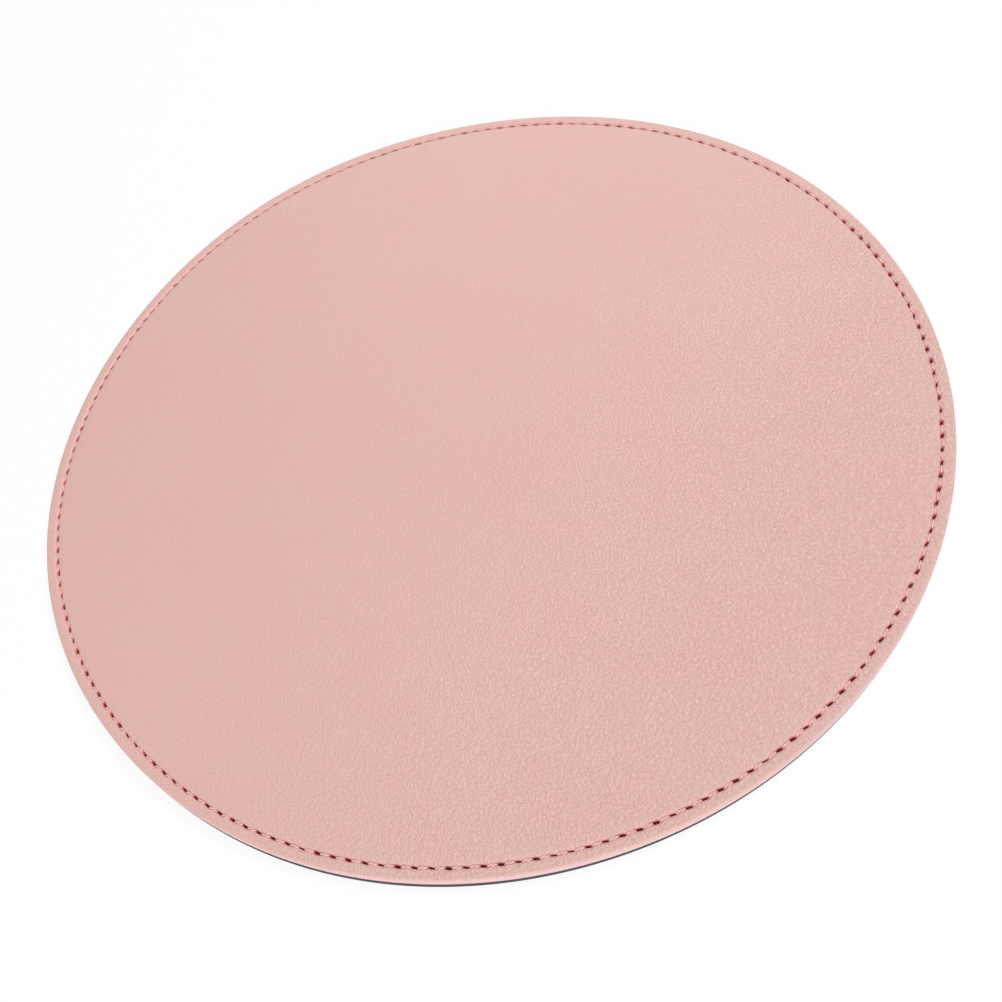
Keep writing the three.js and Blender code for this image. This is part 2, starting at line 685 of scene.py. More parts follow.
class Skin:
    """A mesh under construction: closed rows of points about the Z axis, joined to one another."""

    def __init__(self, outline: Outline, *marks: Mark) -> None:
        """Starts empty.

        Args:
            outline: Outline that the finished mesh follows.
            marks: Shares that the mesh stores on its points.
        """
        self._outline = outline
        self._points: list[Array] = []
        self._shares: dict[Mark, list[Array]] = {mark: [] for mark in marks}
        self._faces: list[list[int]] = []
        self._size = 0

    def row(self, points: Array, shares: Mapping[Mark, float | Array] | None = None) -> Indices:
        """Adds points.

        Args:
            points: Places, with x, y and z along the last axis.
            shares: Value of each mark there; one that is left out is 0.

        Returns:
            The points' numbers, shaped as the places are.
        """
        shape = points.shape[:-1]
        count = math.prod(shape)
        self._points.append(points.reshape(-1, 3))
        for mark, stored in self._shares.items():
            share = (shares or {}).get(mark, 0.0)
            stored.append(np.broadcast_to(np.asarray(share, dtype=float), shape).reshape(-1))
        self._size += count
        return np.arange(self._size - count, self._size).reshape(shape)

    def places(self, numbers: Indices) -> Array:
        """Gives the places of points that were added before."""
        return np.concatenate(self._points)[numbers]

    def faces(self, corners: Indices) -> None:
        """Adds faces, one for each line of corner numbers."""
        self._faces.extend(corners.reshape(-1, corners.shape[-1]).tolist())

    def band(self, first: Indices, second: Indices, kept: NDArray[np.bool_] | None = None) -> None:
        """Joins two closed rows of the same length.

        Args:
            first: Row on the left when going along the band's outside.
            second: Row on the right.
            kept: Which of the band's cells are closed; all of them if left out.
        """
        cells = np.stack([first, second, np.roll(second, -1), np.roll(first, -1)], axis=-1)
        self.faces(cells if kept is None else cells[kept])

    def thinned(self, fine: Indices, coarse: Indices, offset: int, outward: bool) -> None:
        """Joins a row to one that has only some of its columns.

        Args:
            fine: Row with every column.
            coarse: Row with every so many of these columns.
            offset: Number of the fine column under the coarse row's first one.
            outward: Whether the coarse row comes first, so that the band leads out to the fine one.
        """
        times = len(fine) // len(coarse)
        reach = offset + times * np.arange(len(coarse))[:, None] + np.arange(times + 1)
        along = fine[reach % len(fine)]
        ends = np.stack([np.roll(coarse, -1), coarse], axis=-1)
        cells = np.concatenate([along, ends], axis=-1)
        self.faces(cells if outward else cells[:, ::-1])

    def disc(self, rings: Sequence[Indices], tip: int, upward: bool) -> None:
        """Closes a round face from its centre to its last row.

        Args:
            rings: Closed rows of the same length, from the centre outwards.
            tip: Number of the point at the centre.
            upward: Whether the face looks up.
        """
        first = rings[0]
        tips, ahead = np.full_like(first, tip), np.roll(first, -1)
        self.faces(np.stack([tips, first, ahead] if upward else [tips, ahead, first], axis=-1))
        for inner, outer in zip(rings, rings[1:]):
            self.band(*((inner, outer) if upward else (outer, inner)))

    def make(self, name: str, material: bpy.types.Material, sharp_angle: float) -> bpy.types.Object:
        """Turns the rows into an object, without the points that no face uses.

        Args:
            name: Name of the piece.
            material: Its finish.
            sharp_angle: Bend from which an edge is shaded as a sharp one.

        Returns:
            The new object, linked into the scene.
        """
        used, corners = np.unique(np.concatenate(self._faces), return_inverse=True)
        ends = np.cumsum([len(face) for face in self._faces])[:-1]
        faces = [face.tolist() for face in np.split(corners, ends)]
        points = self._outline.drawn(np.concatenate(self._points)[used])
        mesh = bpy.data.meshes.new(name)
        mesh.from_pydata(points.tolist(), [], faces)
        for mark, stored in self._shares.items():
            attribute = mesh.attributes.new(mark.value, "FLOAT", "POINT")
            attribute.data.foreach_set("value", np.concatenate(stored)[used])
        mesh.polygons.foreach_set("use_smooth", np.ones(len(mesh.polygons), dtype=bool))
        mesh.set_sharp_from_angle(angle=sharp_angle)
        mesh.materials.append(material)
        mesh.update()
        return placed(name, mesh)


def register(piece: bpy.types.Object, node: str) -> None:
    """Lets a piece stand for a node of the frame.

    Args:
        piece: The dressed piece.
        node: Node that it replaces.
    """
    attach(piece, BODY)
    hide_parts(node)
    mesh = piece.data
    log.info("%s: %d points, %d faces", piece.name, len(mesh.vertices), len(mesh.polygons))


@dataclass(frozen=True)
class Seam:
    """One row of slanting needle holes just inside the rim, as even as a machine sews it."""

    outline: Outline
    inset: float = 2.9 * MM
    stitch_length: float = 3.49 * MM
    slant: float = math.radians(9)
    sway: float = 0.035 * MM
    stagger: float = 0.05 * MM
    seed: int = 5
    chance_limit: float = 2.0

    @property
    def radius(self) -> float:
        """Radius of the line through the holes."""
        return self.outline.radius - self.inset

    @property
    def count(self) -> int:
        """Number of holes, and of stitches."""
        return round(math.tau * self.radius / self.stitch_length)

    @property
    def step(self) -> float:
        """Angle from one hole to the next."""
        return math.tau / self.count

    @property
    def pitch(self) -> float:
        """Length of a stitch along the seam."""
        return self.step * self.radius

    @property
    def angles(self) -> Array:
        """Angle of every hole."""
        return (np.arange(self.count) + 0.5) * self.step

    def chances(self, chance: Chance) -> Array:
        """Gives every hole a chance value of its own, most of them between -1 and 1.

        Args:
            chance: Which set of values is asked for.

        Returns:
            The same values each time.
        """
        values = np.random.default_rng([self.seed, chance.value]).normal(size=self.count)
        return np.clip(values, -self.chance_limit, self.chance_limit)

    def points(self, along: Array, out: Array, level: Array) -> Array:
        """Sets points at every hole, and follows the row's small unevenness with them.

        Args:
            along: Distances along the seam from a hole's centre, anticlockwise from above, with
                the holes along the first axis.
            out: Distances outwards from the seam line.
            level: Heights over the underside.

        Returns:
            Places, with the holes along the first axis.
        """
        holes = self.angles
        angle = holes.reshape(-1, *[1] * (np.ndim(along) - 1)) + along / self.radius
        sway, stagger = (
            np.interp(angle, holes, size * self.chances(chance), period=math.tau)
            for chance, size in ((Chance.SWAY, self.sway), (Chance.STAGGER, self.stagger))
        )
        angle = angle + stagger / self.radius
        reach = self.radius + out + sway
        level = np.broadcast_to(level, angle.shape)
        return np.stack([reach * np.cos(angle), reach * np.sin(angle), level], axis=-1)


@dataclass(frozen=True)
class Oval:
    """A needle hole's half length and half width."""

    length: float
    width: float


@dataclass
class SewnSheet:
    """A round sheet with the seam's needle holes through it.

    Each neck is a ring of a hole's wall: how far down it lies, and the shares of the hole's length
    and width that are open there. The reaches of the field and of the rings on both sides of the
    seam are measured in bands from the seam line. A span says where a change begins and where it is
    complete. Most spans count from a hole's centre, with its rim at 1. That of the wall's painted
    shade is how far down the wall it lies, and the span of the painted highlight along the seam is a
    distance from the seam line.
    """

    seam: Seam
    low: float
    high: float
    holes: Mapping[Face, Oval]
    band: float = 1.6 * MM
    band_rows: int = 3
    field_rings: int = 24
    field_reach: float = 2.4
    between_reach: float = 1.3
    outside_reach: float = 1.25
    column_shares: tuple[float, ...] = (0.42, 0.75, 1.0, 1.25, 1.55)
    row_shares: tuple[float, ...] = (0.5, 1.0, 1.3, 1.7)
    necks: tuple[tuple[float, float, float], ...] = (
        (0.22, 0.97, 0.8),
        (0.42, 0.85, 0.4),
        (0.67, 0.9, 0.9),
    )
    gape: float = 0.22
    gape_span: Span = (2.4, 1.0)
    rounding_span: Span = (2.4, 1.3)
    slant_span: Span = (1.65, 1.05)
    lip_shade: float = 0.15
    lip_shade_span: Span = (1.25, 1.0)
    wall_shade_span: Span = (-0.05, 0.5)
    # Distances from the seam line at which the painted highlight along the seam starts and is full.
    seam_highlight_span: Span = (0.8 * MM, 0.25 * MM)
    sharp_angle: float = math.radians(50)

    def relief(self, face: Face, out: Array, reach: Array) -> Array:
        """Height of a face over its flat level near the seam; plain sheets have none.

        Args:
            face: Face that is asked for.
            out: Distance outwards from the seam line.
            reach: Distance from the nearest hole's centre, where 1 is the hole's rim.

        Returns:
            Heights along +Z.
        """
        return np.zeros_like(reach)

    def waves(self, x: Array, y: Array) -> Array:
        """Slow unevenness of the upper face; plain sheets have none."""
        return np.zeros_like(x + y)

    def edge(self, angles: Array) -> list[tuple[Array, float, float]]:
        """Profile of the rim, from the upper face down; each sheet has its own.

        Args:
            angles: Angles of the rim's columns.

        Returns:
            The radii at these angles, the level and the cut share of each row.
        """
        raise NotImplementedError

    def level(self, face: Face) -> float:
        """Flat level of a face."""
        return self.high if face is Face.UPPER else self.low

    def columns(self, face: Face) -> Array:
        """Distances along the seam of one stitch's columns, from a hole's left to half way on."""
        half = np.array(self.column_shares) * self.holes[face].length
        return np.concatenate([-half[::-1], [0.0], half, [self.seam.pitch / 2]])

    def rows(self, face: Face) -> Array:
        """Lays out the rows of the band along the seam.

        Args:
            face: Face that is asked for.

        Returns:
            Distances outwards, from the inner row to the outer one.
        """
        near = np.array(self.row_shares) * self.holes[face].width
        far = np.linspace(near[-1], self.band, self.band_rows + 1)[1:]
        half = np.concatenate([near, far])
        return np.concatenate([-half[::-1], [0.0], half])

    def _warped(self, hole: Oval, along: Array, out: Array) -> tuple[Array, Array, Array]:
        """Bends the square grid round a hole so that it follows the hole's slanting oval.

        Args:
            hole: Size of the hole.
            along: Distances along the seam from the hole's centre.
            out: Distances outwards.

        Returns:
            The bent distances along and outwards, by hole, and the reach from the hole, 1 at its rim.
        """
        square = np.maximum(abs(along) / hole.length, abs(out) / hole.width)
        oval = np.maximum(np.hypot(along / hole.length, out / hole.width), TINY)
        rounding = smooth_step(*self.rounding_span, square)
        scale = 1.0 + rounding * (square / oval - 1.0)
        reach = square + (1.0 - rounding) * (oval - square)
        gape = self.gape * self.seam.chances(Chance.GAPE).reshape(-1, 1, 1)
        along, out = along * scale, out * scale * (1.0 + gape * smooth_step(*self.gape_span, reach))
        start, end = (share * hole.length for share in self.slant_span)
        turn = self.seam.slant * smooth_step(start, end, np.hypot(along, out))
        turned_along = along * np.cos(turn) - out * np.sin(turn)
        turned_out = along * np.sin(turn) + out * np.cos(turn)
        return turned_along, turned_out, reach

    def _seam_band(self, skin: Skin, face: Face) -> Indices:
        """Adds one face's rows near the seam.

        Args:
            skin: Mesh under construction.
            face: Face to lay.

        Returns:
            The points' numbers, by row and column.
        """
        along, out = np.meshgrid(self.columns(face), self.rows(face))
        along, out, reach = self._warped(self.holes[face], along, out)
        places = self.seam.points(along, out, self.level(face) + self.relief(face, out, reach))
        if face is Face.UPPER:
            places[..., 2] += self.waves(places[..., 0], places[..., 1])
        rows = len(reach)
        places = places.transpose(1, 0, 2, 3).reshape(rows, -1, 3)
        # Painted shade round each hole's rim.
        hole = np.tile(self.lip_shade * smooth_step(*self.lip_shade_span, reach), (1, self.seam.count))
        # Share of the painted highlight along the seam.
        bed = smooth_step(*self.seam_highlight_span, abs(out)).transpose(1, 0, 2).reshape(rows, -1)
        return skin.row(places, {Mark.HOLE_SHADE: hole, Mark.SEAM_BED: bed})

    def _open_cells(self, face: Face) -> NDArray[np.bool_]:
        """Tells which cells of a face's band lie in a hole.

        Args:
            face: The face.

        Returns:
            True for each such cell, by row and column.
        """
        columns, rows, hole = self.columns(face), self.rows(face)[:-1], self.holes[face]
        across = (columns >= -hole.length - TINY) & (columns < hole.length - TINY)
        up = (rows >= -hole.width - TINY) & (rows < hole.width - TINY)
        return np.tile(up[:, None] & across[None, :], (1, self.seam.count))

    def _rims(self, face: Face, numbers: Indices) -> Indices:
        """Picks the rim of every hole out of a face's band.

        Args:
            face: The face.
            numbers: Points of the band, by row and column.

        Returns:
            The rims' points, by hole and then once round.
        """
        columns, rows, hole = self.columns(face), self.rows(face), self.holes[face]
        left, right = np.flatnonzero(abs(abs(columns) - hole.length) < TINY)
        inner, outer = np.flatnonzero(abs(abs(rows) - hole.width) < TINY)
        walk = (
            [(inner, column) for column in range(left, right)]
            + [(row, right) for row in range(inner, outer)]
            + [(outer, column) for column in range(right, left, -1)]
            + [(row, left) for row in range(outer, inner, -1)]
        )
        cells = numbers.reshape(len(rows), self.seam.count, len(columns))
        return np.stack([cells[row, :, column] for row, column in walk], axis=-1)

    def _walls(self, skin: Skin, upper: Indices, lower: Indices) -> None:
        """Lines the holes from the upper face to the lower one.

        Args:
            skin: Mesh under construction.
            upper: Points of the upper band, by row and column.
            lower: Points of the lower band.
        """
        tops, feet = self._rims(Face.UPPER, upper), self._rims(Face.LOWER, lower)
        lean = self.seam.angles - self.seam.slant
        lengthwise = np.stack([-np.sin(lean), np.cos(lean), np.zeros_like(lean)], axis=-1)[:, None]
        rings = [tops]
        for share, length, width in self.necks:
            wall = skin.places(tops) * (1.0 - share) + skin.places(feet) * share
            centre = wall.mean(axis=1, keepdims=True)
            along = lengthwise * np.sum((wall - centre) * lengthwise, axis=-1, keepdims=True)
            drawn_in = centre + along * length + (wall - centre - along) * width
            # Painted shade on the hole's wall, darker the deeper down it lies.
            shade = smooth_step(*self.wall_shade_span, np.float64(share))
            rings.append(skin.row(drawn_in, {Mark.HOLE_SHADE: shade}))
        rings.append(feet)
        for above, below in zip(rings, rings[1:]):
            ahead, under = np.roll(above, -1, axis=1), np.roll(below, -1, axis=1)
            skin.faces(np.stack([ahead, above, below, under], axis=-1))

    def _ring(
        self, skin: Skin, radius: float | Array, level: float, angles: Array, cut: float = 0.0
    ) -> Indices:
        """Adds a closed row away from the seam.

        Args:
            skin: Mesh under construction.
            radius: Radius of the row, or the radius at each column.
            level: Its height.
            angles: Angles of its columns.
            cut: Share of the cut edge there.

        Returns:
            The points' numbers.
        """
        x, y = radius * np.cos(angles), radius * np.sin(angles)
        z = np.full_like(x, level)
        if level > (self.low + self.high) / 2:
            z += self.waves(x, y)
        return skin.row(np.stack([x, y, z], axis=-1), {Mark.CUT_EDGE: cut})

    def build(self, name: str, material: bpy.types.Material) -> bpy.types.Object:
        """Builds the sheet as one closed skin.

        Args:
            name: Name of the piece.
            material: Its finish.

        Returns:
            The sheet's object.
        """
        skin = Skin(self.seam.outline, Mark.CUT_EDGE, Mark.HOLE_SHADE, Mark.SEAM_BED)
        seam = self.seam
        columns = self.columns(Face.UPPER)
        fine = (seam.angles[:, None] + columns / seam.radius).reshape(-1)
        half = fine[1::2]
        coarse = fine[len(columns) - 1 :: len(columns)]

        upper = self._half_face(skin, Face.UPPER, half, coarse)
        lower = self._half_face(skin, Face.LOWER, half, coarse)
        self._walls(skin, upper, lower)

        outside = seam.radius + self.outside_reach * self.band
        rim = [self._ring(skin, outside, self.high, half)]
        rim += [self._ring(skin, radii, level, half, cut) for radii, level, cut in self.edge(half)]
        skin.thinned(upper[-1], rim[0], 1, outward=False)
        for first, second in zip(rim, rim[1:]):
            skin.band(first, second)
        skin.thinned(lower[-1], rim[-1], 1, outward=True)
        return skin.make(name, material, self.sharp_angle)

    def _half_face(self, skin: Skin, face: Face, half: Array, coarse: Array) -> Indices:
        """Lays one face from its centre to the outer side of the seam.

        Args:
            skin: Mesh under construction.
            face: Face to lay.
            half: Angles of every second column.
            coarse: Angles of one column for each stitch.

        Returns:
            The points of the band at the seam, by row and column.
        """
        upward = face is Face.UPPER
        field = self.field_profile(face)
        tip = skin.row(np.array([[0.0, 0.0, field[0][1]]]))
        rings = [self._ring(skin, radius, height, coarse) for radius, height in field]
        between_radius = self.seam.radius - self.between_reach * self.band
        between = self._ring(skin, between_radius, field[-1][1], half)
        band = self._seam_band(skin, face)
        skin.disc(rings, int(tip[0]), upward)
        skin.thinned(between, rings[-1], len(half) // len(coarse) - 1, outward=upward)
        skin.thinned(band[0], between, 1, outward=upward)
        closed = ~self._open_cells(face)
        for inner, outer, kept in zip(band, band[1:], closed):
            skin.band(*((inner, outer) if upward else (outer, inner)), kept=kept)
        return band

    def field_profile(self, face: Face) -> list[tuple[float, float]]:
        """Lays out the rings inside the seam, from the centre outwards.

        Args:
            face: Face that is asked for.

        Returns:
            Radius and level of each ring.
        """
        last = self.seam.radius - self.field_reach * self.band
        radii = np.linspace(0.0, last, self.field_rings + 1)[1:]
        return [(float(radius), self.level(face)) for radius in radii]


@dataclass(kw_only=True)
class LeatherCover(SewnSheet):
    """The leather: pulled down along the seam, rounded over at its rim, recessed for the glue.

    Its waves are the sum of a slow and a quick pattern, each with two lengths.
    """

    recess_radius: float
    recess_depth: float
    edge_radius: float = 0.6 * MM
    edge_steps: int = 6
    foot_inset: float = 0.03 * MM
    bed_depth: float = 0.20 * MM
    bed_width: float = 0.36 * MM
    dish_depth: float = 0.10 * MM
    dish_width: float = 1.2 * MM
    lip_depth: float = 0.17 * MM
    lip_span: Span = (1.75, 0.95)
    wave_height: float = 0.03 * MM
    slow_lengths: Pair = (19 * MM, 23 * MM)
    slow_phases: Pair = (0.7, 1.9)
    quick_lengths: Pair = (11 * MM, 17 * MM)
    quick_phases: Pair = (0.0, 0.4)
    quick_share: float = 0.3

    def relief(self, face: Face, out: Array, reach: Array) -> Array:
        """Dips the upper face to the seam, under the thread's run and into each hole.

        Args:
            face: Face that is asked for.
            out: Distance outwards from the seam line.
            reach: Distance from the nearest hole's centre, where 1 is the hole's rim.

        Returns:
            Heights along +Z.
        """
        if face is Face.LOWER:
            return super().relief(face, out, reach)
        bed = self.bed_depth * np.exp(-((out / self.bed_width) ** 2))
        dish = self.dish_depth * np.exp(-((out / self.dish_width) ** 2))
        lip = self.lip_depth * smooth_step(*self.lip_span, reach)
        return -bed - dish - lip

    def waves(self, x: Array, y: Array) -> Array:
        """Slow unevenness of the glued-down leather, most of it below the flat level.

        Args:
            x: Places along X.
            y: Places along Y.

        Returns:
            Heights along +Z.
        """
        slow = self._pattern(x, y, self.slow_lengths, self.slow_phases)
        quick = self._pattern(x + y, x - 2.0 * y, self.quick_lengths, self.quick_phases)
        mixed = (1.0 - self.quick_share) * slow + self.quick_share * quick
        return self.wave_height * (mixed - 0.5)

    @staticmethod
    def _pattern(first: Array, second: Array, lengths: Pair, phases: Pair) -> Array:
        """Gives the product of two waves.

        Args:
            first: Places along the first wave.
            second: Places along the second one.
            lengths: Distance that each wave takes for one radian.
            phases: Angle at which each wave starts.

        Returns:
            Values from -1 to 1.
        """
        return np.sin(first / lengths[0] + phases[0]) * np.sin(second / lengths[1] + phases[1])

    def edge(self, angles: Array) -> list[tuple[Array, float, float]]:
        """Profile of the rim: a quarter round, and the straight cut under it.

        Args:
            angles: Angles of the rim's columns.

        Returns:
            The radii at these angles, the level and the cut share of each row.
        """
        radii = np.full_like(angles, self.seam.outline.radius)
        foot = self.high - self.edge_radius
        profile = []
        for step in range(self.edge_steps + 1):
            angle = math.pi / 2 * step / self.edge_steps
            inset = self.edge_radius * (1.0 - math.sin(angle))
            level = foot + self.edge_radius * math.cos(angle)
            profile.append((radii - inset, level, math.sin(angle) ** 2))
        profile.append((radii, (foot + self.low) / 2, 1.0))
        profile.append((radii - self.foot_inset, self.low, 1.0))
        return profile

    def field_profile(self, face: Face) -> list[tuple[float, float]]:
        """Lays out the rings inside the seam, with the glue's recess in the lower face.

        Args:
            face: Face that is asked for.

        Returns:
            Radius and level of each ring.
        """
        profile = super().field_profile(face)
        if face is Face.UPPER:
            return profile
        roof = self.low + self.recess_depth
        inside = [(radius, roof) for radius, _ in profile if radius < self.recess_radius]
        return [*inside, (self.recess_radius, roof), (self.recess_radius, self.low)]


@dataclass(kw_only=True)
class RubberBase(SewnSheet):
    """The base: matt rubber with a bed for the lower thread.

    It is cut a little smaller than the leather, but for one bulge. The bed's span is measured in
    bed widths from the seam line.
    """

    bed_depth: float = 0.45 * MM
    bed_width: float = 0.62 * MM
    bed_span: Span = (1.6, 0.9)
    hole_span: Span = (1.5, 1.0)
    edge_sway: float = 0.05 * MM
    edge_turn: float = 7.0
    edge_rows: int = 6
    cut_inset: float = 0.3 * MM
    bulge: float = 0.43 * MM
    bulge_direction: float = math.radians(-118)
    bulge_sharpness: int = 3

    def relief(self, face: Face, out: Array, reach: Array) -> Array:
        """Sinks the lower face along the seam, so that the thread clears the desk.

        Args:
            face: Face that is asked for.
            out: Distance outwards from the seam line.
            reach: Distance from the nearest hole's centre, where 1 is the hole's rim.

        Returns:
            Heights along +Z.
        """
        if face is Face.UPPER:
            return super().relief(face, out, reach)
        start, end = (share * self.bed_width for share in self.bed_span)
        bed = smooth_step(start, end, abs(out))
        return self.bed_depth * np.maximum(bed, smooth_step(*self.hole_span, reach))

    def edge(self, angles: Array) -> list[tuple[Array, float, float]]:
        """Profile of the rim: a slightly wavy cut that stands out at the bulge.

        Args:
            angles: Angles of the rim's columns.

        Returns:
            The radii at these angles, the level and the cut share of each row.
        """
        facing = np.clip(np.cos(angles - self.bulge_direction), 0.0, 1.0)
        cut = self.seam.outline.radius - self.cut_inset
        radii = cut + self.bulge * facing**self.bulge_sharpness
        profile = []
        for step in range(self.edge_rows + 1):
            share = step / self.edge_rows
            sway = self.edge_sway * (math.sin(self.edge_turn * share) - 1.0)
            profile.append((radii + sway, self.high + (self.low - self.high) * share, 1.0))
        return profile


@dataclass
class GlueFilm:
    """The thin film between leather and base, with the wavy edge of glue spread by hand.

    Each set of ripples in that edge is their number, their share and the angle at which they start.
    """

    outline: Outline
    radius: float
    low: float
    high: float
    sway: float = 0.25 * MM
    ripples: tuple[tuple[int, float, float], ...] = ((23, 0.6, 0.0), (61, 0.4, 1.0))
    columns: int = 360
    rings: int = 8
    sharp_angle: float = math.radians(40)

    def build(self, name: str, material: bpy.types.Material) -> bpy.types.Object:
        """Builds the film as one closed skin.

        Args:
            name: Name of the piece.
            material: Its finish.

        Returns:
            The film's object.
        """
        skin = Skin(self.outline)
        angles = np.linspace(0.0, math.tau, self.columns, endpoint=False)
        rippled = sum(share * np.sin(count * angles + turn) for count, share, turn in self.ripples)
        spread = self.radius - self.sway * (1.0 + rippled)
        reach = np.linspace(0.0, 1.0, self.rings + 1)[1:, None] * spread
        x, y = reach * np.cos(angles), reach * np.sin(angles)
        rims = []
        for level in (self.high, self.low):
            rings = skin.row(np.stack([x, y, np.full_like(reach, level)], axis=-1))
            tip = skin.row(np.array([[0.0, 0.0, level]]))
            skin.disc(rings, int(tip[0]), upward=level == self.high)
            rims.append(rings[-1])
        skin.band(*rims)
        return skin.make(name, material, self.sharp_angle)


@dataclass(frozen=True)
class Ply:
    """One of a thread's two plies: its radius, and its distance from the thread's centre line."""

    radius: float
    offset: float

    @property
    def reach(self) -> float:
        """How far the ply reaches from the thread's centre line."""
        return self.radius + self.offset


@dataclass
class SewingThread:
    """One of the seam's threads: two twisted plies, led from hole to hole without an end.

    A span says how far from the level of the thread's run a change begins and is complete.
    """

    seam: Seam
    ply: Ply
    run_level: float
    loop_level: float
    leg_angle: float
    lock_reach: float
    leg_reach: float
    squeeze: float = 0.35
    squeeze_span: Span = (0.1 * MM, 0.6 * MM)
    shade_span: Span = (0.06 * MM, 0.36 * MM)
    crown: float = 0.03 * MM
    turns_per_stitch: int = 2
    twist_phase: float = math.radians(-25)
    sides: int = 12
    steps: tuple[int, ...] = (2, 2, 2, 2, 3, 3, 5)
    sharp_angle: float = math.radians(80)

    def _half_line(self) -> Array:
        """Lays out half a stitch.

        Returns:
            Guide points along, out and up, from the loop in a hole to the middle of the next run.
        """
        leg = np.array([math.cos(self.leg_angle), math.sin(self.leg_angle), 0.0])
        lock, mouth = self.lock_reach * leg, self.leg_reach * leg
        up = np.array([0.0, 0.0, self.run_level - self.loop_level])
        onward = np.array([1.0, 0.0, 0.0])
        crown = up * self.crown / abs(up[2])
        line = [
            0.0 * leg,
            0.75 * lock + 0.05 * up,
            lock + 0.22 * up,
            0.5 * (lock + mouth) + 0.55 * up,
            mouth + 0.80 * up,
            mouth + 0.15 * MM * onward + 0.91 * up,
            mouth * (1.0, 0.8, 1.0) + 0.50 * MM * onward + 0.975 * up,
            self.seam.pitch / 2 * onward + up + crown,
        ]
        return np.array(line) + (0.0, 0.0, self.loop_level)

    def _line(self) -> Array:
        """Draws one stitch's smooth centre line.

        Returns:
            Points along, out and up, from a loop to just before the next one.
        """
        half = self._half_line()
        mirrored = half[-2:0:-1] * (-1.0, -1.0, 1.0) + (self.seam.pitch, 0.0, 0.0)
        stitch = np.concatenate([half, mirrored])
        ahead = stitch + (self.seam.pitch, 0.0, 0.0)
        behind = stitch - (self.seam.pitch, 0.0, 0.0)
        guides = np.concatenate([behind[-1:], stitch, ahead[:2]])
        steps = [*self.steps, *self.steps[::-1]]
        arcs = [self._arc(guides[i : i + 4], count) for i, count in enumerate(steps)]
        return np.concatenate(arcs)

    @staticmethod
    def _arc(guides: Array, count: int) -> Array:
        """Rounds the line between the middle two of four guide points.

        Args:
            guides: Four guide points.
            count: Number of points to give.

        Returns:
            Points from the second guide to just before the third.
        """
        before, start, end, after = guides
        share = np.linspace(0.0, 1.0, count, endpoint=False)[:, None]
        leaving, arriving = (end - before) / 2, (after - start) / 2
        bend = 3.0 * (end - start) - 2.0 * leaving - arriving
        settle = 2.0 * (start - end) + leaving + arriving
        return start + share * (leaving + share * (bend + share * settle))

    @staticmethod
    def _directions(line: Array) -> tuple[Array, Array]:
        """Finds two directions at right angles to the thread and to one another.

        Args:
            line: Points of the closed centre line.

        Returns:
            The directions across the seam and upright, at each point.
        """
        ahead = np.roll(line, -1, axis=0) - np.roll(line, 1, axis=0)
        ahead /= np.linalg.norm(ahead, axis=1, keepdims=True)
        outward = line * (1.0, 1.0, 0.0)
        across = outward - ahead * np.sum(outward * ahead, axis=1, keepdims=True)
        across /= np.linalg.norm(across, axis=1, keepdims=True)
        return across, np.cross(across, ahead)

    def _twist(self, line: Array) -> Array:
        """Turns the plies evenly along the thread.

        Args:
            line: Points of the closed centre line.

        Returns:
            Angle of the twist at each point.
        """
        lengths = np.linalg.norm(np.roll(line, -1, axis=0) - line, axis=1)
        travelled = np.concatenate([[0.0], np.cumsum(lengths)[:-1]]) / lengths.sum()
        turns = self.seam.count * self.turns_per_stitch
        return self.twist_phase + math.tau * turns * travelled

    def _section(self, around: Array) -> Array:
        """Draws the outline of the two plies.

        Args:
            around: Angles round the centre line, 0 where the first ply lies.

        Returns:
            The outline's distance from the centre line.
        """
        facing = abs(np.cos(around))
        beside = self.ply.offset**2 * (1.0 - facing**2)
        return self.ply.offset * facing + np.sqrt(self.ply.radius**2 - beside)

    def build(self, name: str, material: bpy.types.Material) -> bpy.types.Object:
        """Builds the thread as one closed tube.

        Args:
            name: Name of the piece.
            material: Its finish.

        Returns:
            The thread's object.
        """
        along, out, level = self._line().T
        line = self.seam.points(along[None], out, level).reshape(-1, 3)
        across, upright = self._directions(line)
        around = np.linspace(0.0, math.tau, self.sides, endpoint=False)
        angle = self._twist(line)[:, None] + around
        section = self._section(around)
        depth = np.tile(abs(level - self.run_level), self.seam.count)[:, None]
        reach = section * (1.0 - self.squeeze * smooth_step(*self.squeeze_span, depth))
        places = line[:, None] + across[:, None] * (reach * np.cos(angle))[..., None]
        places = places + upright[:, None] * (reach * np.sin(angle))[..., None]

        # Shares of painted shade in the grooves between the plies.
        groove_shade = (section.max() - section) / (section.max() - section.min())
        # Painted shade on the thread where it sinks into the holes, deeper below the run.
        sunk_shade = smooth_step(*self.shade_span, depth)
        skin = Skin(self.seam.outline, Mark.PLY_GROOVE, Mark.HOLE_SHADE)
        rings = skin.row(places, {Mark.PLY_GROOVE: groove_shade, Mark.HOLE_SHADE: sunk_shade})
        beside, beyond = np.roll(rings, -1, axis=1), np.roll(rings, -1, axis=0)
        skin.faces(np.stack([rings, beyond, np.roll(beyond, -1, axis=1), beside], axis=-1))
        return skin.make(name, material, self.sharp_angle)


@dataclass(frozen=True)
class Lamp:
    """A square soft lamp that faces the pad, with its side's length and its power in watts."""

    name: str
    place: tuple[float, float, float]
    size: float
    power: float

    def hang(self) -> None:
        """Hangs the lamp."""
        light = bpy.data.lights.new(self.name, "AREA")
        light.size = self.size
        light.energy = self.power
        lamp = placed(self.name, light)
        lamp.location = self.place
        lamp.rotation_euler = (-Vector(self.place)).to_track_quat("-Z", "Y").to_euler()


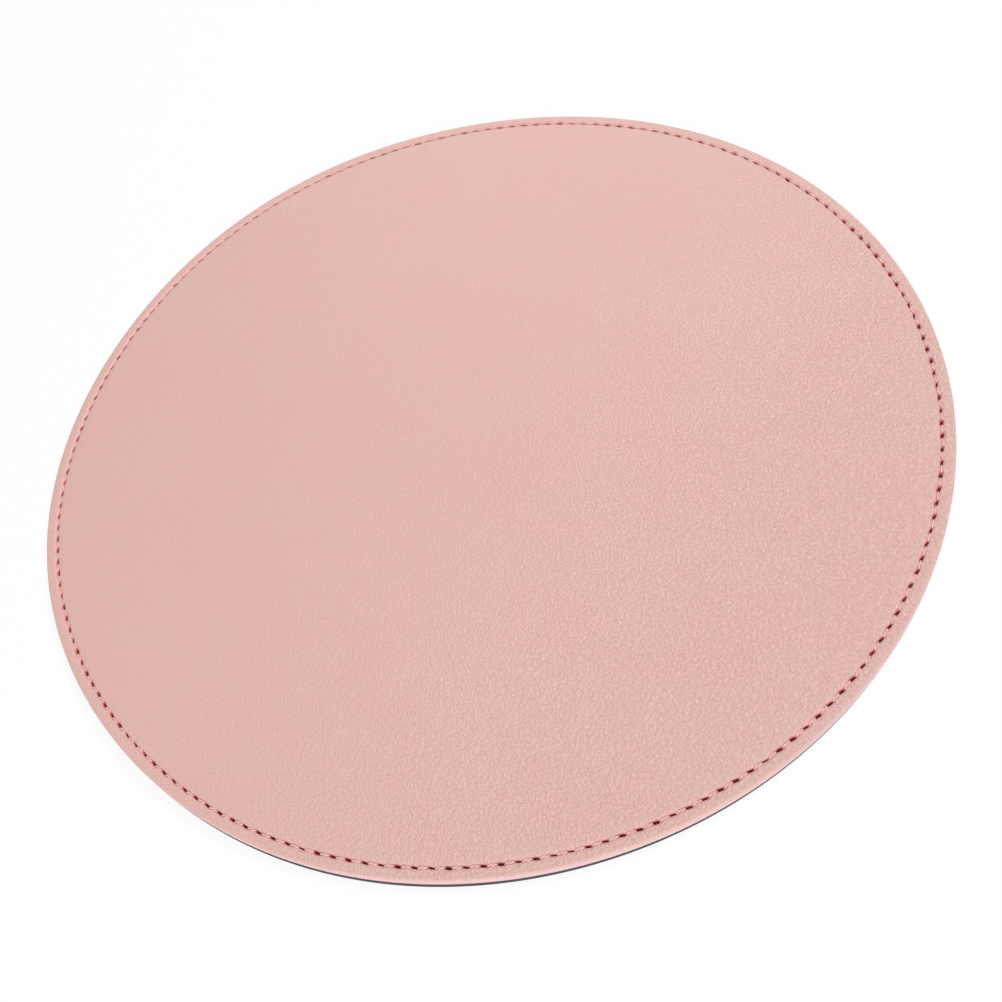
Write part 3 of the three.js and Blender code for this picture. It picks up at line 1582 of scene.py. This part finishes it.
@dataclass
class Studio:
    """Pale floor, soft light and the camera."""

    top: float
    camera_azimuth: float = math.radians(-89.616)
    camera_elevation: float = math.radians(51.317)
    camera_distance: float = 294.60 * MM
    aim: Pair = (-13.716 * MM, -28.852 * MM)
    camera_roll: float = math.radians(-23.707)
    lens: float = 43.474
    sensor: float = 36.0
    shift: Pair = (0.0571, 0.0399)
    clip_start: float = 1 * MM
    floor_size: float = 12.0
    floor_drop: float = 0.02 * MM
    floor_colour: Colour = (0.93, 0.93, 0.93)
    floor_glow: float = 0.90
    sky_strength: float = 0.41
    lamps: tuple[Lamp, ...] = (
        Lamp("overhead_softbox", (0.15, -0.30, 1.90), 1.8, 6.2),
        Lamp("back_softbox", (0.25, 1.55, 1.10), 0.6, 2.8),
        Lamp("right_softbox", (0.58, 0.28, 0.83), 0.28, 5.5),
        Lamp("front_softbox", (-0.28, -0.88, 0.40), 0.3, 4.9),
    )

    def build(self) -> None:
        """Sets up floor, sky, lamps and camera."""
        bpy.context.scene.view_settings.view_transform = "Standard"
        self._floor()
        self._sky()
        for lamp in self.lamps:
            lamp.hang()
        self._camera()

    @staticmethod
    def _seen_directly(shader: Shader) -> Wire:
        """Tells where a surface is seen and where it only gives light.

        Args:
            shader: Shader under construction.

        Returns:
            1 where the camera, a mirror or glass shows the surface, and 0 elsewhere.
        """
        names = ("Is Camera Ray", "Is Glossy Ray", "Is Transmission Ray")
        seen, mirrored, through = (shader.add("ShaderNodeLightPath", output=name) for name in names)
        return shader.add("ShaderNodeClamp", inputs={"Value": seen + mirrored + through})

    def _floor(self) -> None:
        """Lays the floor, which takes the pad's shadow."""
        material, shader = surface_material("pale_floor")
        matt = shader.add("ShaderNodeBsdfDiffuse", inputs={"Color": self.floor_colour})
        glow = shader.add("ShaderNodeEmission", inputs={"Color": WHITE, "Strength": 1.0})
        share = self._seen_directly(shader) * self.floor_glow
        surface = shader.add("ShaderNodeMixShader", inputs={0: share, 1: matt, 2: glow})
        shader.add("ShaderNodeOutputMaterial", inputs={"Surface": surface})
        half = self.floor_size / 2
        corners = [(-half, -half, 0.0), (half, -half, 0.0), (half, half, 0.0), (-half, half, 0.0)]
        mesh = bpy.data.meshes.new("floor")
        mesh.from_pydata(corners, [], [(0, 1, 2, 3)])
        mesh.materials.append(material)
        floor = placed("floor", mesh)
        floor.location.z = -self.floor_drop

    def _sky(self) -> None:
        """Fills in light from all round, with a white background."""
        world = bpy.data.worlds.new("studio")
        world.use_nodes = True
        bpy.context.scene.world = world
        shader = Shader(world.node_tree)
        fill = shader.add("ShaderNodeBackground", inputs={"Strength": self.sky_strength})
        white = shader.add("ShaderNodeBackground", inputs={"Color": WHITE, "Strength": 1.0})
        inputs = {0: self._seen_directly(shader), 1: fill, 2: white}
        surface = shader.add("ShaderNodeMixShader", inputs=inputs)
        shader.add("ShaderNodeOutputWorld", inputs={"Surface": surface})

    def _camera(self) -> None:
        """Sets the camera up."""
        data = bpy.data.cameras.new("camera")
        data.lens = self.lens
        data.sensor_width = self.sensor
        data.shift_x, data.shift_y = self.shift
        data.clip_start = self.clip_start
        level = self.camera_distance * math.cos(self.camera_elevation)
        rise = self.camera_distance * math.sin(self.camera_elevation)
        azimuth = self.camera_azimuth
        place = Vector((level * math.cos(azimuth), level * math.sin(azimuth), self.top + rise))
        view = Vector((*self.aim, self.top)) - place
        turn = view.to_track_quat("-Z", "Y").to_matrix() @ Matrix.Rotation(self.camera_roll, 3, "Z")
        camera = placed("camera", data)
        camera.matrix_world = Matrix.Translation(place) @ turn.to_4x4()
        bpy.context.scene.camera = camera


@dataclass
class MousePad:
    """The whole pad, laid out from the frame."""

    leather_hole: Oval = Oval(0.98 * MM, 0.34 * MM)
    base_hole: Oval = Oval(0.70 * MM, 0.62 * MM)
    base_row_shares: tuple[float, ...] = (0.5, 1.0, 1.3)
    base_necks: tuple[tuple[float, float, float], ...] = ((0.25, 0.5, 1.0), (0.6, 0.02, 0.95))
    glue_clearance: float = 0.3 * MM
    lock_reach: float = 0.46 * MM
    lock_gap: float = 0.42 * MM
    needle_reach: float = 0.80 * MM
    needle_lean: float = math.radians(3)
    needle_sink: float = 0.11 * MM
    needle_ply: Ply = Ply(0.17 * MM, 0.085 * MM)
    bobbin_ply: Ply = Ply(0.11 * MM, 0.06 * MM)

    def __post_init__(self) -> None:
        """Reads the layers' levels and radii from the frame."""
        self.leather_low, self.leather_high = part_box("leather_cover")
        self.base_low, self.base_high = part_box("rubber_base")
        self.glue_low, self.glue_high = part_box("glue_film")
        self.outline = Outline(self.leather_high[0])
        self.seam = Seam(self.outline)
        needle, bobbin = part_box("needle_thread"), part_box("bobbin_thread")
        self.needle_crest, self.bobbin_foot = needle[1][2], bobbin[0][2]
        self.lock_level = self.leather_high[2] / 2

    def build(self) -> None:
        """Builds and registers every piece."""
        leather = LeatherCover(
            self.seam,
            self.leather_low[2],
            self.leather_high[2],
            {Face.UPPER: self.leather_hole, Face.LOWER: self.base_hole},
            recess_radius=self.glue_high[0] + self.glue_clearance,
            recess_depth=self.glue_high[2] - self.glue_low[2],
        )
        grained = leather.build("grained_leather", LeatherFinish().material())
        register(grained, "leather_cover")

        base = RubberBase(
            self.seam,
            self.base_low[2],
            self.base_high[2],
            {Face.UPPER: self.base_hole, Face.LOWER: self.base_hole},
            row_shares=self.base_row_shares,
            necks=self.base_necks,
            gape=0.0,
        )
        register(base.build("grip_rubber", RubberFinish().material()), "rubber_base")

        glue = GlueFilm(self.outline, self.glue_high[0], self.glue_low[2], self.glue_high[2])
        register(glue.build("spread_glue", GlueFinish().material()), "glue_film")

        thread = ThreadFinish().material()
        for role in ThreadRole:
            twisted = self._thread(role).build(f"twisted_{role.value}", thread)
            register(twisted, role.value)

    def _thread(self, role: ThreadRole) -> SewingThread:
        """Lays out one of the two threads.

        Args:
            role: Which thread it is.

        Returns:
            The thread, ready to build.
        """
        if role is ThreadRole.NEEDLE:
            ply, lean, reach = self.needle_ply, self.needle_lean, self.needle_reach
            run = self.needle_crest - ply.reach - self.needle_sink
            loop = self.lock_level - self.lock_gap / 2
        else:
            ply, lean, reach = self.bobbin_ply, self.seam.slant - math.pi / 2, self.lock_reach
            run = self.bobbin_foot + ply.reach
            loop = self.lock_level + self.lock_gap / 2
        return SewingThread(self.seam, ply, run, loop, lean, self.lock_reach, reach)


def main() -> None:
    """Builds the pad and the studio."""
    logging.basicConfig(level=logging.INFO, format="%(message)s")
    pad = MousePad()
    pad.build()
    Studio(top=pad.leather_high[2]).build()


if __name__ == "__main__":
    main()
